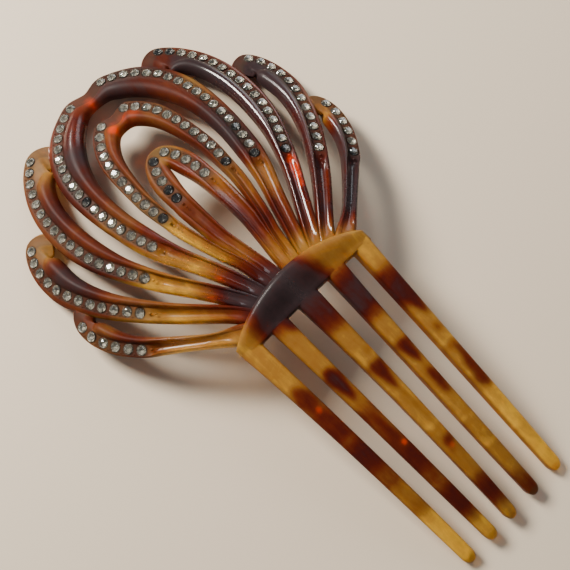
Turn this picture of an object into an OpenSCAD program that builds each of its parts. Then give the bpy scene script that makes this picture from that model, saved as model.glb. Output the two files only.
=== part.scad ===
// Mantilla comb: a one-piece celluloid comb with a fan crown of six nested
// straps a side, each set with a row of round stones, a domed heading and
// five teeth. Lengths are in millimetres. It lies on its back as it would on
// a table, teeth towards -Y, crown towards +Y, stone side up.

/* [Bend] */
// Radius of the bend from side to side
side_bend_r = 105; // [95:1:125]
// Radius of the bend from crown to teeth
long_bend_r = 240; // [220:5:280]
// Place of the highest point of the long bend
bend_mid = 2.4; // [1.8:0.2:3]

/* [Teeth] */
// Place of the slot roots along the comb
slot_root_t = -6.3; // [-6.8:0.1:-5.8]
// Place of the tooth tips along the comb
tooth_tip_t = -82; // [-86:1:-78]
// Thickness of a tooth at its root
tooth_root_h = 4.0; // [3.6:0.1:4.2]
// Thickness of a tooth near its tip
tooth_tip_h = 2.4; // [2.0:0.1:2.8]

/* [Heading] */
// Thickness of the heading at its middle
heading_h = 5.4; // [4.8:0.1:6.0]
// Half width of the heading
heading_half_w = 22.9; // [22.6:0.1:23.4]
// Place of the heading's top edge at its middle
heading_top_t = 3.4; // [3.0:0.1:3.8]
// Place of the heading's top edge at its ends
heading_end_t = -3.0; // [-3.4:0.1:-2.6]

/* [Stones] */
// Diameter of a stone
stone_d = 2.8; // [2.5:0.1:2.8]
// Height of a stone, from its point to its table
stone_h = 1.65; // [1.4:0.05:1.8]
// Half width of the channel that the stones sit in
channel_half_w = 1.5; // [1.45:0.05:1.6]
// Gap between a stone and the floor of its channel
stone_gap = 0.1; // [0.05:0.05:0.15]

/* [Hidden] */

// Right half of each strap, from its crown end to its root in the heading.
// Columns: s across and t along of the stone line, out and in: reach of the
// strap to its outer and inner side, floor, edge and rib: heights of the
// channel floor, the outer edge and the inner rib.
loop_1 = [
//    s,    t,    out, in,  floor, edge, rib
    [ 0.0, 52.0,  2.2,  6.3,  1.3,  2.2,  2.6],
    [ 2.4, 50.8,  2.4,  3.8,  1.3,  2.2,  2.8],
    [ 3.9, 47.3,  3.0,  3.9,  1.3,  2.2,  3.0],
    [ 4.6, 44.0,  3.1,  4.0,  1.3,  2.2,  3.1],
    [ 5.0, 40.5,  2.9,  3.5,  1.3,  2.2,  3.2],
    [ 5.1, 37.0,  2.8,  3.2,  1.3,  2.2,  3.2],
    [ 5.1, 33.0,  2.9,  3.0,  1.6,  2.6,  3.1],
    [ 4.6, 22.0,  2.6,  2.3,  2.0,  2.8,  3.0],
    [ 3.9, 17.0,  2.3,  2.2,  2.1,  2.9,  3.0],
    [ 3.0, 11.0,  2.0,  2.1,  2.3,  2.9,  3.0],
    [ 2.2,  5.0,  1.8,  2.2,  2.5,  2.9,  3.0],
    [ 1.9,  1.5,  1.8,  1.9,  2.5,  2.8,  2.8]];
loop_2 = [
    [ 0.0, 69.8,  2.1,  3.8,  1.3,  2.2,  2.9],
    [ 4.2, 71.2,  1.9,  6.2,  1.3,  2.2,  3.2],
    [ 6.8, 68.9,  2.1,  5.5,  1.3,  2.2,  3.4],
    [ 9.0, 65.4,  2.2,  5.0,  1.3,  2.2,  3.5],
    [10.4, 61.8,  2.2,  4.4,  1.3,  2.2,  3.5],
    [11.4, 56.4,  2.1,  3.8,  1.3,  2.2,  3.5],
    [12.2, 46.0,  1.8,  3.0,  1.3,  2.2,  3.4],
    [12.0, 41.0,  1.8,  2.7,  1.3,  2.2,  3.3],
    [11.4, 36.0,  1.8,  2.2,  1.3,  2.2,  3.2],
    [10.6, 30.0,  1.9,  1.9,  1.9,  2.8,  3.1],
    [ 7.9, 18.0,  1.6,  1.6,  2.2,  3.0,  3.1],
    [ 6.2, 12.5,  1.6,  1.6,  2.3,  3.0,  3.1],
    [ 4.8,  5.0,  1.6,  1.6,  2.5,  3.0,  3.0],
    [ 4.3,  1.5,  1.5,  1.5,  2.5,  2.8,  2.8]];
loop_3 = [
    [ 0.0, 82.6,  2.0,  3.7,  1.3,  2.2,  2.8],
    [ 5.3, 84.0,  2.0,  6.7,  1.3,  2.2,  3.4],
    [ 9.1, 82.6,  2.3,  6.9,  1.3,  2.2,  3.7],
    [12.6, 80.4,  2.8,  7.4,  1.3,  2.2,  3.8],
    [15.6, 77.7,  3.1,  7.6,  1.3,  2.2,  3.8],
    [18.7, 73.3,  3.3,  7.5,  1.3,  2.2,  3.8],
    [20.8, 68.0,  3.5,  7.0,  1.3,  2.2,  3.8],
    [21.9, 62.0,  3.5,  6.1,  1.3,  2.2,  3.8],
    [22.2, 55.5,  3.3,  5.2,  1.3,  2.2,  3.7],
    [21.9, 48.5,  3.0,  4.8,  1.3,  2.2,  3.6],
    [21.1, 42.5,  2.9,  4.5,  1.3,  2.2,  3.5],
    [19.9, 37.0,  3.1,  4.3,  1.3,  2.2,  3.4],
    [18.6, 32.5,  3.1,  3.8,  1.4,  2.4,  3.3],
    [17.2, 28.3,  2.9,  3.3,  1.8,  2.8,  3.2],
    [15.3, 23.5,  2.6,  2.7,  2.0,  2.9,  3.2],
    [12.8, 17.5,  2.5,  2.5,  2.1,  3.0,  3.2],
    [ 8.3,  5.0,  2.1,  2.0,  2.5,  3.0,  3.1],
    [ 7.3,  1.0,  2.0,  1.9,  2.5,  2.8,  2.8]];
scallop_4 = [
    [17.8, 76.6,  2.3,  3.0,  0.9,  1.1,  1.1],
    [20.0, 79.4,  2.2,  4.0,  1.0,  1.6,  1.5],
    [22.3, 80.4,  2.0,  5.4,  1.3,  2.1,  2.3],
    [24.6, 80.0,  2.1,  6.4,  1.3,  2.2,  2.8],
    [27.0, 77.7,  2.4,  6.9,  1.3,  2.2,  3.3],
    [29.3, 74.6,  2.6,  6.6,  1.3,  2.2,  3.6],
    [31.9, 69.6,  2.8,  6.0,  1.3,  2.2,  3.8],
    [33.5, 63.6,  3.1,  5.8,  1.3,  2.2,  3.8],
    [33.9, 57.0,  3.4,  5.4,  1.3,  2.2,  3.8],
    [33.6, 50.5,  3.4,  5.3,  1.3,  2.2,  3.8],
    [32.8, 44.8,  3.0,  5.2,  1.3,  2.2,  3.7],
    [31.2, 39.5,  2.8,  4.6,  1.3,  2.2,  3.6],
    [29.3, 35.0,  2.7,  3.8,  1.3,  2.2,  3.5],
    [27.0, 30.3,  2.7,  3.3,  1.3,  2.3,  3.4],
    [24.7, 25.8,  2.6,  2.9,  1.6,  2.7,  3.3],
    [22.3, 21.8,  2.6,  2.5,  1.9,  2.8,  3.3],
    [19.4, 17.2,  2.6,  2.2,  2.0,  2.9,  3.3],
    [13.2,  6.5,  2.4,  2.2,  2.5,  3.0,  3.2],
    [ 9.8,  0.0,  2.2,  2.0,  2.5,  2.8,  2.8]];
scallop_5 = [
    [36.3, 57.3,  2.4,  3.0,  0.9,  1.1,  1.1],
    [38.8, 59.9,  2.3,  4.0,  1.0,  1.6,  1.5],
    [41.3, 60.4,  2.2,  5.2,  1.3,  2.1,  2.4],
    [43.2, 59.0,  2.3,  6.0,  1.3,  2.2,  3.0],
    [44.8, 55.6,  2.5,  6.4,  1.3,  2.2,  3.4],
    [45.5, 51.6,  2.9,  6.7,  1.3,  2.2,  3.7],
    [45.5, 47.6,  3.1,  6.7,  1.3,  2.2,  3.8],
    [44.8, 43.8,  3.4,  6.0,  1.3,  2.2,  3.8],
    [43.3, 39.5,  3.4,  5.3,  1.3,  2.2,  3.8],
    [41.4, 35.3,  3.2,  4.8,  1.3,  2.2,  3.7],
    [39.2, 31.2,  3.0,  4.4,  1.3,  2.2,  3.6],
    [36.8, 27.5,  2.8,  4.0,  1.3,  2.2,  3.6],
    [33.8, 23.3,  2.6,  3.8,  1.3,  2.3,  3.5],
    [30.2, 18.7,  2.4,  3.4,  1.6,  2.7,  3.4],
    [26.2, 14.1,  2.3,  3.1,  1.9,  2.8,  3.3],
    [18.0,  5.4,  2.2,  2.6,  2.4,  3.0,  3.2],
    [13.5,  0.0,  2.2,  2.4,  2.5,  2.8,  2.8]];
scallop_6 = [
    [42.0, 33.8,  2.2,  2.6,  0.9,  1.1,  1.1],
    [43.8, 35.8,  2.2,  3.4,  1.0,  1.6,  1.5],
    [46.0, 35.4,  2.1,  4.6,  1.3,  2.1,  2.5],
    [47.4, 32.6,  2.1,  5.2,  1.3,  2.2,  3.1],
    [47.3, 28.6,  2.1,  5.0,  1.3,  2.2,  3.5],
    [46.0, 24.6,  2.2,  4.6,  1.3,  2.2,  3.7],
    [44.3, 21.3,  2.3,  4.1,  1.3,  2.2,  3.7],
    [42.1, 18.1,  2.1,  3.8,  1.3,  2.2,  3.6],
    [39.6, 15.1,  2.0,  3.5,  1.3,  2.3,  3.5],
    [36.0, 11.9,  1.8,  3.1,  1.8,  2.8,  3.4],
    [32.0,  8.6,  1.7,  2.7,  2.0,  2.9,  3.3],
    [28.0,  5.4,  1.8,  2.3,  2.3,  3.0,  3.3],
    [23.8,  2.3,  2.2,  1.9,  2.5,  3.0,  3.2],
    [19.5, -0.8,  2.7,  3.3,  2.5,  2.8,  2.8],
    [16.5, -3.0,  2.2,  3.3,  2.5,  2.8,  2.8]];

// Stone rows on the right half: distance of the first and the last stone
// along the strap, and their count.
//            first, last, count
row_loop_1 =    [ 2.2, 15.7,  5];
row_loop_2 =    [ 4.4, 41.2, 12];
row_loop_3 =    [ 6.1, 64.1, 18];
row_scallop_4 = [ 8.4, 64.1, 17];
row_scallop_5 = [ 7.6, 48.3, 12];
row_scallop_6 = [ 8.1, 27.1,  6];

// Columns: centre at the root and at the tip, bow to the side half way, width at the root and at the tip
teeth = [
    [ -0.7,  -1.2,  0.0, 6.6, 3.5],
    [  9.7,   7.3, -0.9, 5.8, 3.6],
    [ 19.6,  16.3, -0.9, 5.5, 3.8],
    [-10.6,  -8.4, -0.4, 5.6, 3.6],
    [-19.9, -16.4,  0.0, 5.8, 3.8]];
// Columns: share of the tooth's length, share of the taper, and shares of the width and the thickness, which close the tip
tooth_shape = [
    [-0.02, 0.00, 1.00, 1.00],
    [ 0.00, 0.00, 1.00, 1.00],
    [ 0.10, 0.22, 1.00, 1.00],
    [ 0.25, 0.42, 1.00, 1.00],
    [ 0.42, 0.59, 1.00, 1.00],
    [ 0.60, 0.69, 1.00, 1.00],
    [ 0.77, 0.80, 1.00, 1.00],
    [ 0.95, 1.00, 1.00, 1.00],
    [ 0.975, 1.00, 0.88, 0.95],
    [ 0.992, 1.00, 0.55, 0.80],
    [ 1.00, 1.00, 0.25, 0.60]];

steps = 1;
deg = 180 / PI;

// A point of the flat design at s across, t along and h above the back face
function bend(p) =
    let (a = p[0] / side_bend_r * deg, y = p[1] - bend_mid,
         c = sqrt(long_bend_r * long_bend_r - y * y), k = y / c,
         n = [sin(a), k * cos(a), cos(a)])
    [side_bend_r * sin(a), p[1], side_bend_r * (cos(a) - 1) + c - long_bend_r] + n * p[2] / norm(n);

// The lowest points, at the sides of the crown and at the tooth tips, are put on z = 0
low_z = bend([16.8, -82, 0])[2];
mid_y = 2.06;
function placed(p) = bend(p) - [0, mid_y, low_z];
// A point of the flat cross-section that stands on the back face at s, t and runs along w: u along w, h above the back
function section(s, t, w, u, h) = let (b = placed([s, t, 0]), n = placed([s, t, 1]) - b,
        e = placed([s + w[0] * 0.01, t + w[1] * 0.01, 0]) - b, f = e - n * (e * n), v = f / norm(f),
        q = placed([s + w[0] * u, t + w[1] * u, 0]) - b) b + v * (q * v) + n * (q * n + h);

function mirrored(row) = [for (i = [0 : len(row) - 1]) i == 0 ? -row[0] : row[i]];
// Rows with a guide row before the first and after the last, for the spline
function guided(rows) = let (n = len(rows) - 1)
    concat([rows[0][0] == 0 ? mirrored(rows[1]) : 2 * rows[0] - rows[1]], rows, [2 * rows[n] - rows[n - 1]]);
function spline(a, b, c, d, u) =
    0.5 * (2 * b + (c - a) * u + (2 * a - 5 * b + 4 * c - d) * u * u + (3 * b - a - 3 * c + d) * u * u * u);
// The rows of a strap, with more worked out between them
function smooth_rows(rows, steps) = let (g = guided(rows))
    [for (i = [1 : len(rows) - 1], j = [0 : steps - 1]) spline(g[i - 1], g[i], g[i + 1], g[i + 2], j / steps),
     rows[len(rows) - 1]];
function tangent(r, i) = let (n = len(r) - 1, a = r[max(i - 1, 0)], b = r[min(i + 1, n)],
        d = i == 0 && r[0][0] == 0 ? [1, 0] : [b[0] - a[0], b[1] - a[1]]) d / norm(d);
// Outward side of a strap: to the left of its way from crown to root
function outward(r, i) = let (d = tangent(r, i)) [-d[1], d[0]];
function at(r, i, u, h) = let (w = outward(r, i)) placed([r[i][0] + w[0] * u, r[i][1] + w[1] * u, h]);

module skin(points) { hull() polyhedron(points, [[for (i = [0 : len(points) - 1]) i]]); }
// A solid swept through closed sections of the same number of points
module swept(rows) {
    n = len(rows[0]);
    m = len(rows);
    polyhedron([for (r = rows) each r], concat([[for (i = [0 : n - 1]) i], [for (i = [n - 1 : -1 : 0]) (m - 1) * n + i]],
        [for (k = [0 : m - 2], i = [0 : n - 1], u = [0, 1]) let (j = (i + 1) % n, a = k * n, b = a + n)
            u == 0 ? [a + i, b + i, b + j] : [a + i, b + j, a + j]]));
}

// Plate under the channel, over the whole width of the strap
function plate(r, i) = let (q = r[i]) [for (p = [
    [q[2], 0], [-q[3], 0], [-q[3], 0.8], [0.3 - q[3], q[4]], [q[2] - 0.3, q[4]], [q[2], 0.8]])
    at(r, i, p[0], p[1])];
// The channel's reach to one side: beside the stones it leaves a lip, and below them it narrows
function channel(q, reach, lip) = min(channel_half_w, q[4] < 1.35 ? reach - lip : 0.55 * reach);
// Outer edge, beside the stones
function edge(r, i) = let (q = r[i], a = channel(q, q[2], 0.25), m = (a + q[2]) / 2) [for (p = [
    [a, 0.8], [a, q[5]], [m, q[5]], [q[2], q[5] - 0.4], [q[2], 0.8]])
    at(r, i, p[0], p[1])];
// Rounded inner rib
function rib(r, i) = let (q = r[i], a = channel(q, q[3], 0.6), w = q[3] - a, f = q[4]) [for (p = [
    [-a, 0.8], [-a, f + 0.4 * (q[6] - f)], [-a - 0.3 * w, q[6] - 0.04 * (q[6] - f)],
    [-a - 0.68 * w, q[6] - 0.06 * (q[6] - f)], [-q[3], f + 0.15 * (q[6] - f)], [-q[3], 0.8]])
    at(r, i, p[0], p[1])];

module strap(rows) {
    r = smooth_rows(rows, steps);
    for (i = [0 : len(r) - 2]) {
        skin(concat(plate(r, i), plate(r, i + 1)));
        skin(concat(edge(r, i), edge(r, i + 1)));
        skin(concat(rib(r, i), rib(r, i + 1)));
    }
}

// Heading: a domed crescent, cut into slices across the comb
function heading_arc(s) = let (w = heading_half_w, d = heading_top_t - heading_end_t, R = (w * w + d * d) / (2 * d))
    heading_top_t - R + sqrt(R * R - s * s);
function heading_slice(s) = let (
        t0 = slot_root_t - 0.2, t1 = heading_arc(s), e = abs(s) / heading_half_w,
        h = tooth_root_h + (heading_h - tooth_root_h) * (1 - pow(e, 2.4)), b = tooth_root_h - 0.7 * pow(e, 2))
    [for (p = [[t0, 0], [t0, b], [t0 + 0.35 * (t1 - t0), 0.35 * b + 0.65 * h], [t0 + 0.62 * (t1 - t0), h], [t1 - 1.2, h - 0.25],
        [t1 - 0.35, h - 0.9], [t1, h - 2.0], [t1, 0.3], [t1 - 0.3, 0]]) section(s, 0, [0, 1], p[0], p[1])];
module heading() {
    n = 12;
    swept([for (i = [n : -1 : -n]) heading_slice(heading_half_w * i / n)]);
}

// Teeth: rounded bars that taper to a round tip
function tooth_slice(q, u, w, h) = let (t = slot_root_t + (tooth_tip_t - slot_root_t) * u,
        c = q[0] + (q[1] - q[0]) * u + q[2] * 4 * u * (1 - u))
    [for (p = [[-0.5, 0.25], [-0.4, 0], [0.4, 0], [0.5, 0.25], [0.5, 0.65], [0.3, 1], [-0.3, 1], [-0.5, 0.65]])
        section(c, t, [1, 0], p[0] * w, p[1] * h)];
module tooth(q) swept([for (k = tooth_shape) tooth_slice(q, k[0], (q[3] + (q[4] - q[3]) * k[1]) * k[2],
    (tooth_root_h - 0.15 + (tooth_tip_h - tooth_root_h + 0.15) * max(k[0], 0)) * k[3])]);

module comb_body() {
    color([0.55, 0.27, 0.07]) {
        for (rows = [loop_1, loop_2, loop_3, scallop_4, scallop_5, scallop_6]) {
            strap(rows);
            mirror([1, 0, 0]) strap(rows);
        }
        heading();
        for (q = teeth) tooth(q);
    }
}

// Distance along a strap up to each of its sections
function run(r, i) = i == 0 ? 0 : run(r, i - 1) + norm([r[i][0] - r[i - 1][0], r[i][1] - r[i - 1][1]]);
// A stone: a pointed back, a thin girdle and a crown with a flat table
module stone() {
    r = stone_d / 2;
    cylinder(h = stone_h * 0.5, r1 = r * 0.45, r2 = r, $fn = 48);
    translate([0, 0, stone_h * 0.5]) cylinder(h = stone_h * 0.1, r = r, $fn = 48);
    translate([0, 0, stone_h * 0.6]) cylinder(h = stone_h * 0.4, r1 = r, r2 = r * 0.56, $fn = 48);
}
module stone_at(r, d) {
    runs = [for (i = [0 : len(r) - 1]) run(r, i)];
    i = max([for (j = [0 : len(r) - 2]) runs[j] <= d ? j : 0]);
    u = (d - runs[i]) / (runs[i + 1] - runs[i]);
    q = r[i] + (r[i + 1] - r[i]) * u;
    a = placed([q[0], q[1], q[4] + stone_gap]);
    n = placed([q[0], q[1], q[4] + stone_gap + 1]) - a;
    translate(a) rotate([0, acos(n[2] / norm(n)), atan2(n[1], n[0])]) stone();
}
module stone_row(rows, row) {
    r = smooth_rows(rows, steps);
    color([0.82, 0.84, 0.86])
    for (k = [0 : row[2] - 1]) stone_at(r, row[0] + (row[1] - row[0]) * k / (row[2] - 1));
}
module stones_both(rows, row) { stone_row(rows, row); mirror([1, 0, 0]) stone_row(rows, row); }
module stones_loop_1() { stones_both(loop_1, row_loop_1); }
module stones_loop_2() { stones_both(loop_2, row_loop_2); }
module stones_loop_3() { stones_both(loop_3, row_loop_3); }
module stones_scallop_4_right() { stone_row(scallop_4, row_scallop_4); }
module stones_scallop_4_left() { mirror([1, 0, 0]) stones_scallop_4_right(); }
module stones_scallop_5_right() { stone_row(scallop_5, row_scallop_5); }
module stones_scallop_5_left() { mirror([1, 0, 0]) stones_scallop_5_right(); }
module stones_scallop_6_right() { stone_row(scallop_6, row_scallop_6); }
module stones_scallop_6_left() { mirror([1, 0, 0]) stones_scallop_6_right(); }

comb_body();
stones_loop_1();
stones_loop_2();
stones_loop_3();
stones_scallop_4_left();
stones_scallop_4_right();
stones_scallop_5_left();
stones_scallop_5_right();
stones_scallop_6_left();
stones_scallop_6_right();
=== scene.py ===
"""Looks of the mantilla comb: polished tortoiseshell celluloid set with rows of round foiled stones."""

import math

import bpy
import numpy as np
from mathutils import Matrix, Vector


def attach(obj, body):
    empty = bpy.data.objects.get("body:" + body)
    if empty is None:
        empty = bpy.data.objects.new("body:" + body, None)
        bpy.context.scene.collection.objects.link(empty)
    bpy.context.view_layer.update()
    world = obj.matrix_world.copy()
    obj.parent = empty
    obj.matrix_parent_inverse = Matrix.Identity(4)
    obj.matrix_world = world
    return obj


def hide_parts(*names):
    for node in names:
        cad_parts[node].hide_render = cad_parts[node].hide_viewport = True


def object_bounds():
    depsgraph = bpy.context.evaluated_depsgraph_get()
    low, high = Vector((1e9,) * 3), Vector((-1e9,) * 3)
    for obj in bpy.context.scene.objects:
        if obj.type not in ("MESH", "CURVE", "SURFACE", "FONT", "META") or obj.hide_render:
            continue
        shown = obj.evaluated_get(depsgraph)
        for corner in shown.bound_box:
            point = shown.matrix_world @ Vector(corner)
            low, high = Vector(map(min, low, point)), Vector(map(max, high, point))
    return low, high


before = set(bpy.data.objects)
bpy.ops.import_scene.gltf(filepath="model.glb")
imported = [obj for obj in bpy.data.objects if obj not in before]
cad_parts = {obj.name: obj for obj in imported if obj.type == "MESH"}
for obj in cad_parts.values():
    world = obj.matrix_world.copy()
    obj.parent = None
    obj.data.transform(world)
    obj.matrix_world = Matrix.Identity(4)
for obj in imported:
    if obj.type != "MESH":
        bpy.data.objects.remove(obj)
cad_box = [list(map(float, corner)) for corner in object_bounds()]
MM = 0.001

# ---------------------------------------------------------------- sizes, in mm, as in the construction model
SIDE_R, LONG_R, BEND_MID, MID_Y = 105.0, 240.0, 2.4, 2.06
ROOT_T, TIP_T, ROOT_H, TIP_H = -6.3, -82.0, 4.0, 2.4
HEAD_H, HEAD_HALF_W, HEAD_TOP_T, HEAD_END_T = 5.4, 22.9, 3.4, -3.0
STONE_R, STONE_H, STONE_LIFT = 1.50, 1.65, 1.4

# Right half of each strap, crown end to root: s, t, out, in, floor, edge, rib
STRAPS = {
    "loop_1": [
        [0.0, 52.0, 2.2, 6.3, 1.3, 2.2, 2.6], [2.4, 50.8, 2.4, 3.8, 1.3, 2.2, 2.8], [3.9, 47.3, 3.0, 3.9, 1.3, 2.2, 3.0],
        [4.6, 44.0, 3.1, 4.0, 1.3, 2.2, 3.1], [5.0, 40.5, 2.9, 3.5, 1.3, 2.2, 3.2], [5.1, 37.0, 2.8, 3.2, 1.3, 2.2, 3.2],
        [5.1, 33.0, 2.9, 3.0, 1.6, 2.6, 3.1], [4.6, 22.0, 2.6, 2.3, 2.0, 2.8, 3.0], [3.9, 17.0, 2.3, 2.2, 2.1, 2.9, 3.0],
        [3.0, 11.0, 2.0, 2.1, 2.3, 2.9, 3.0], [2.2, 5.0, 1.8, 2.2, 2.5, 2.9, 3.0], [1.9, 1.5, 1.8, 1.9, 2.5, 2.8, 2.8]],
    "loop_2": [
        [0.0, 69.8, 2.1, 3.8, 1.3, 2.2, 2.9], [4.2, 71.2, 1.9, 6.2, 1.3, 2.2, 3.2], [6.8, 68.9, 2.1, 5.5, 1.3, 2.2, 3.4],
        [9.0, 65.4, 2.2, 5.0, 1.3, 2.2, 3.5], [10.4, 61.8, 2.2, 4.4, 1.3, 2.2, 3.5], [11.4, 56.4, 2.1, 3.8, 1.3, 2.2, 3.5],
        [12.2, 46.0, 1.8, 3.0, 1.3, 2.2, 3.4], [12.0, 41.0, 1.8, 2.7, 1.3, 2.2, 3.3], [11.4, 36.0, 1.8, 2.2, 1.3, 2.2, 3.2],
        [10.6, 30.0, 1.9, 1.9, 1.9, 2.8, 3.1], [7.9, 18.0, 1.6, 1.6, 2.2, 3.0, 3.1], [6.2, 12.5, 1.6, 1.6, 2.3, 3.0, 3.1],
        [4.8, 5.0, 1.6, 1.6, 2.5, 3.0, 3.0], [4.3, 1.5, 1.5, 1.5, 2.5, 2.8, 2.8]],
    "loop_3": [
        [0.0, 82.6, 2.0, 3.7, 1.3, 2.2, 2.8], [5.3, 84.0, 2.0, 6.7, 1.3, 2.2, 3.4], [9.1, 82.6, 2.3, 6.9, 1.3, 2.2, 3.7],
        [12.6, 80.4, 2.8, 7.4, 1.3, 2.2, 3.8], [15.6, 77.7, 3.1, 7.6, 1.3, 2.2, 3.8], [18.7, 73.3, 3.3, 7.5, 1.3, 2.2, 3.8],
        [20.8, 68.0, 3.5, 7.0, 1.3, 2.2, 3.8], [21.9, 62.0, 3.5, 6.1, 1.3, 2.2, 3.8], [22.2, 55.5, 3.3, 5.2, 1.3, 2.2, 3.7],
        [21.9, 48.5, 3.0, 4.8, 1.3, 2.2, 3.6], [21.1, 42.5, 2.9, 4.5, 1.3, 2.2, 3.5], [19.9, 37.0, 3.1, 4.3, 1.3, 2.2, 3.4],
        [18.6, 32.5, 3.1, 3.8, 1.4, 2.4, 3.3], [17.2, 28.3, 2.9, 3.3, 1.8, 2.8, 3.2], [15.3, 23.5, 2.6, 2.7, 2.0, 2.9, 3.2],
        [12.8, 17.5, 2.5, 2.5, 2.1, 3.0, 3.2], [8.3, 5.0, 2.1, 2.0, 2.5, 3.0, 3.1], [7.3, 1.0, 2.0, 1.9, 2.5, 2.8, 2.8]],
    "scallop_4": [
        [17.8, 76.6, 2.3, 3.0, 0.9, 1.1, 1.1], [20.0, 79.4, 2.2, 4.0, 1.0, 1.6, 1.5], [22.3, 80.4, 2.0, 5.4, 1.3, 2.1, 2.3],
        [24.6, 80.0, 2.1, 6.4, 1.3, 2.2, 2.8], [27.0, 77.7, 2.4, 6.9, 1.3, 2.2, 3.3], [29.3, 74.6, 2.6, 6.6, 1.3, 2.2, 3.6],
        [31.9, 69.6, 2.8, 6.0, 1.3, 2.2, 3.8], [33.5, 63.6, 3.1, 5.8, 1.3, 2.2, 3.8], [33.9, 57.0, 3.4, 5.4, 1.3, 2.2, 3.8],
        [33.6, 50.5, 3.4, 5.3, 1.3, 2.2, 3.8], [32.8, 44.8, 3.0, 5.2, 1.3, 2.2, 3.7], [31.2, 39.5, 2.8, 4.6, 1.3, 2.2, 3.6],
        [29.3, 35.0, 2.7, 3.8, 1.3, 2.2, 3.5], [27.0, 30.3, 2.7, 3.3, 1.3, 2.3, 3.4], [24.7, 25.8, 2.6, 2.9, 1.6, 2.7, 3.3],
        [22.3, 21.8, 2.6, 2.5, 1.9, 2.8, 3.3], [19.4, 17.2, 2.6, 2.2, 2.0, 2.9, 3.3], [13.2, 6.5, 2.4, 2.2, 2.5, 3.0, 3.2],
        [9.8, 0.0, 2.2, 2.0, 2.5, 2.8, 2.8]],
    "scallop_5": [
        [36.3, 57.3, 2.4, 3.0, 0.9, 1.1, 1.1], [38.8, 59.9, 2.3, 4.0, 1.0, 1.6, 1.5], [41.3, 60.4, 2.2, 5.2, 1.3, 2.1, 2.4],
        [43.2, 59.0, 2.3, 6.0, 1.3, 2.2, 3.0], [44.8, 55.6, 2.5, 6.4, 1.3, 2.2, 3.4], [45.5, 51.6, 2.9, 6.7, 1.3, 2.2, 3.7],
        [45.5, 47.6, 3.1, 6.7, 1.3, 2.2, 3.8], [44.8, 43.8, 3.4, 6.0, 1.3, 2.2, 3.8], [43.3, 39.5, 3.4, 5.3, 1.3, 2.2, 3.8],
        [41.4, 35.3, 3.2, 4.8, 1.3, 2.2, 3.7], [39.2, 31.2, 3.0, 4.4, 1.3, 2.2, 3.6], [36.8, 27.5, 2.8, 4.0, 1.3, 2.2, 3.6],
        [33.8, 23.3, 2.6, 3.8, 1.3, 2.3, 3.5], [30.2, 18.7, 2.4, 3.4, 1.6, 2.7, 3.4], [26.2, 14.1, 2.3, 3.1, 1.9, 2.8, 3.3],
        [18.0, 5.4, 2.2, 2.6, 2.4, 3.0, 3.2], [13.5, 0.0, 2.2, 2.4, 2.5, 2.8, 2.8]],
    "scallop_6": [
        [42.0, 33.8, 2.2, 2.6, 0.9, 1.1, 1.1], [43.8, 35.8, 2.2, 3.4, 1.0, 1.6, 1.5], [46.0, 35.4, 2.1, 4.6, 1.3, 2.1, 2.5],
        [47.4, 32.6, 2.1, 5.2, 1.3, 2.2, 3.1], [47.3, 28.6, 2.1, 5.0, 1.3, 2.2, 3.5], [46.0, 24.6, 2.2, 4.6, 1.3, 2.2, 3.7],
        [44.3, 21.3, 2.3, 4.1, 1.3, 2.2, 3.7], [42.1, 18.1, 2.1, 3.8, 1.3, 2.2, 3.6], [39.6, 15.1, 2.0, 3.5, 1.3, 2.3, 3.5],
        [36.0, 11.9, 1.8, 3.1, 1.8, 2.8, 3.4], [32.0, 8.6, 1.7, 2.7, 2.0, 2.9, 3.3], [28.0, 5.4, 1.8, 2.3, 2.3, 3.0, 3.3],
        [23.8, 2.3, 2.2, 1.9, 2.5, 3.0, 3.2], [19.5, -0.8, 2.7, 3.3, 2.5, 2.8, 2.8], [16.5, -3.0, 2.2, 3.3, 2.5, 2.8, 2.8]],
}
# Distance of the first and the last stone along the strap, and their count
ROWS = {"loop_1": (2.2, 15.7, 5), "loop_2": (4.4, 41.2, 12), "loop_3": (6.1, 64.1, 18),
        "scallop_4": (8.4, 64.1, 17), "scallop_5": (7.6, 48.3, 12), "scallop_6": (8.1, 27.1, 6)}
# Teeth from left to right: centre at the root and at the tip, bow to the side half way, width at the root and at the tip
TEETH = {1: (-19.9, -16.4, 0.0, 5.8, 3.8), 2: (-10.6, -8.4, -0.4, 5.6, 3.6), 3: (-0.7, -1.2, 0.0, 6.6, 3.5),
         4: (9.7, 7.3, -0.9, 5.8, 3.6), 5: (19.6, 16.3, -0.9, 5.5, 3.8)}
# Share of the tooth's length, share of the taper
TAPER = [(0.0, 0.0), (0.10, 0.22), (0.25, 0.42), (0.42, 0.59), (0.60, 0.69), (0.77, 0.80), (0.95, 1.0), (1.0, 1.0)]
# Stones that have lost their foil, by row and side, counted from the crown
DARK = {("loop_1", -1): (0, 3, 4), ("loop_2", -1): (11,), ("loop_2", 1): (11,), ("loop_3", 1): (14, 17),
        ("loop_3", -1): (10,), ("scallop_4", 1): (0, 1, 16), ("scallop_6", 1): (5,)}


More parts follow.
